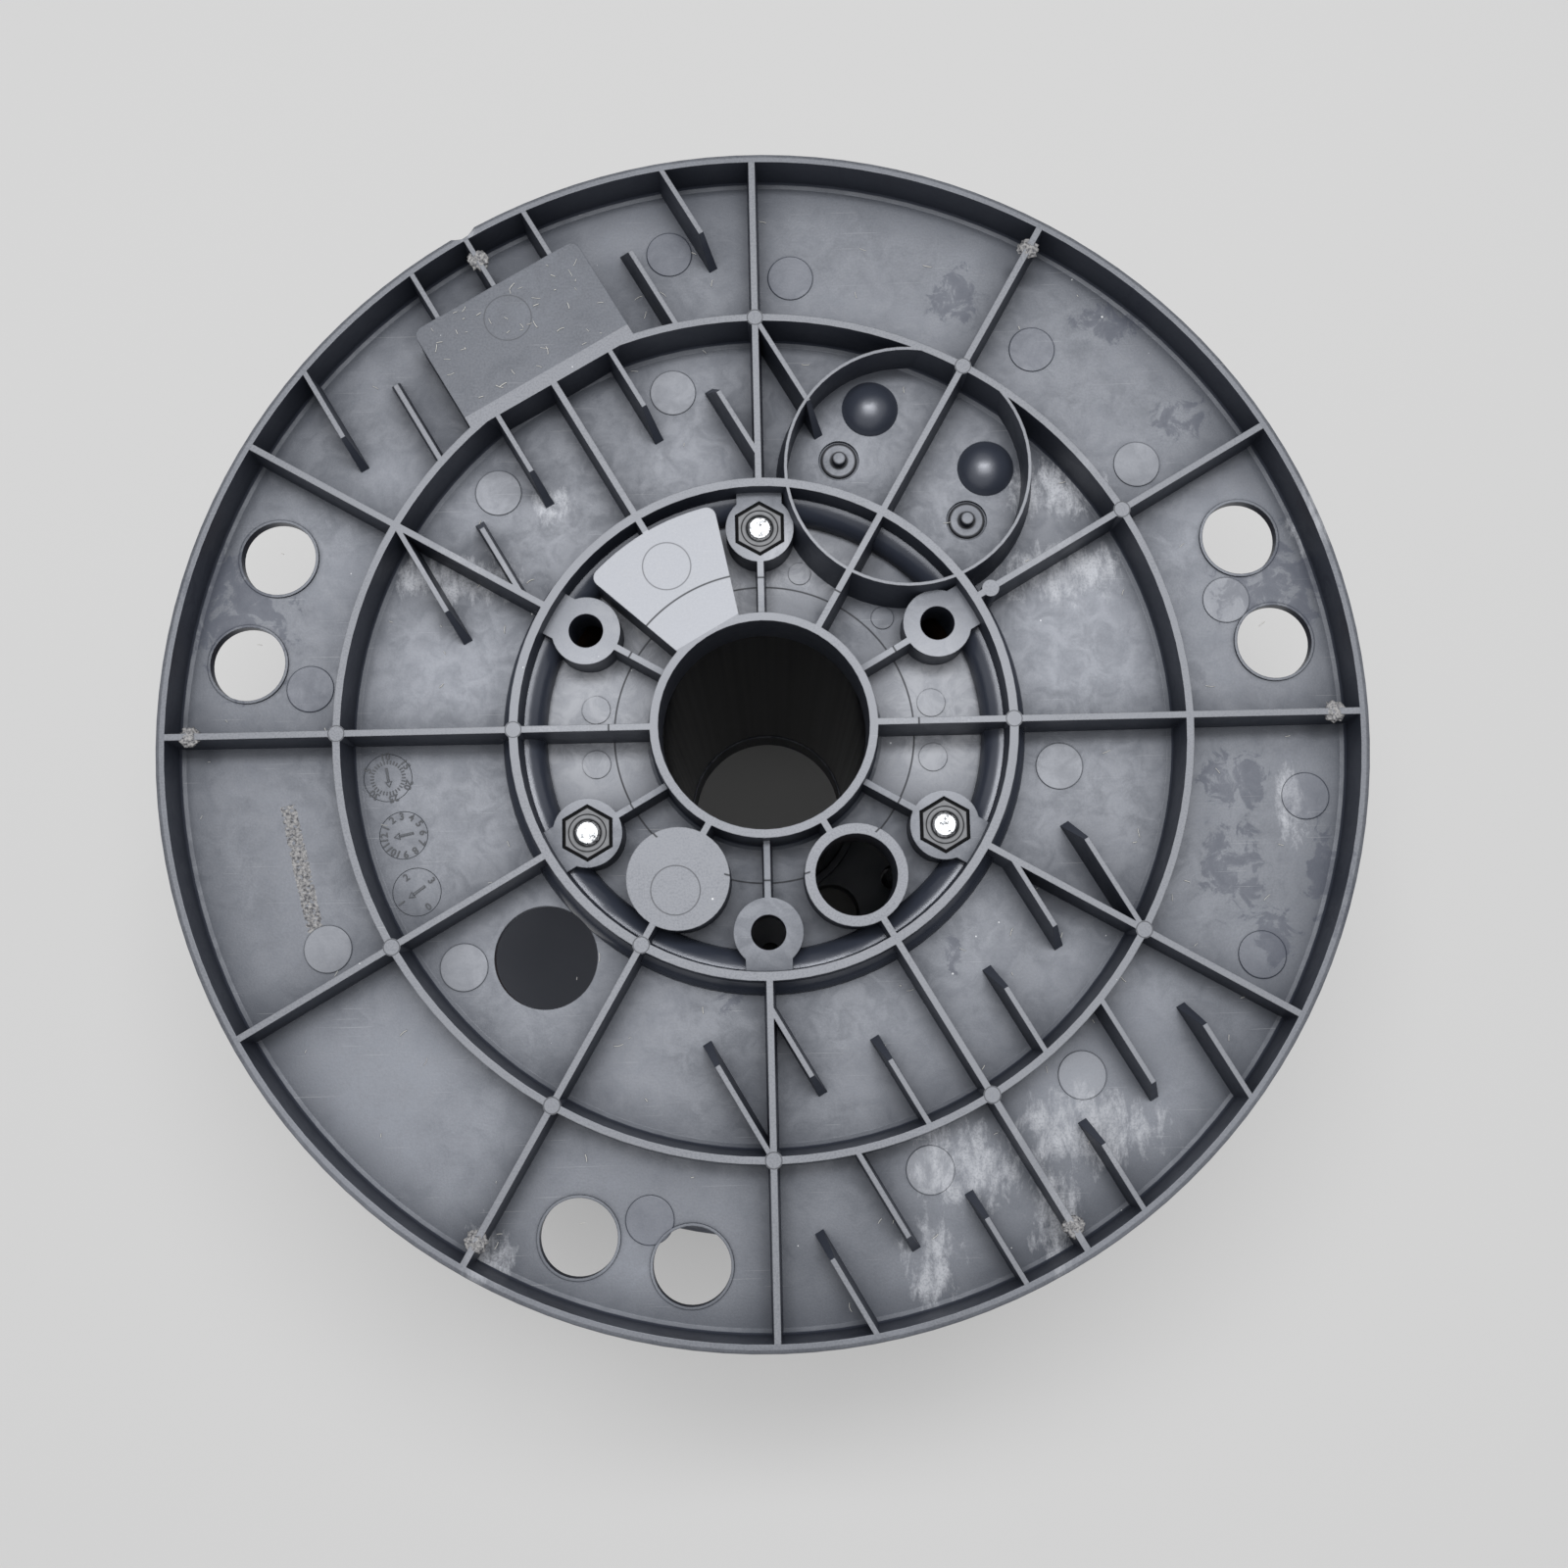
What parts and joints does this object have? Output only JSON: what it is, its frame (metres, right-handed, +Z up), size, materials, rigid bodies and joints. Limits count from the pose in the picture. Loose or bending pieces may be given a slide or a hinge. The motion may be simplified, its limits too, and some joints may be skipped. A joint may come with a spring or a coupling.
{
  "type": "cable reel",
  "caption": "Empty cable reel of ribbed moulded plastic flanges on a fibre barrel, bolted together, with a central arbor bore, drive hole and finger holes.",
  "frame": {"origin": "centre of the reel's axis on the floor that it stands on", "axes": "+Z up along the bore axis, +X towards the right-hand spoke of the upper flange in the picture"},
  "size_m": [0.2984, 0.2984, 0.1969],
  "materials": {
    "flange_plastic": "satin, scuffed",
    "barrel_fibre": "wound kraft paper",
    "arbor_plastic": "gloss",
    "zinc_steel": "bright zinc",
    "dark_steel": "dull"
  },
  "bodies": {
    "root": {"top_flange": "flange_plastic", "bottom_flange": "flange_plastic", "barrel": "barrel_fibre", "arbor_tube": "arbor_plastic", "bolt_1": "zinc_steel", "bolt_2": "zinc_steel", "bolt_3": "zinc_steel", "nut_1": "dark_steel", "nut_2": "dark_steel", "nut_3": "dark_steel"}
  },
  "joints": []
}
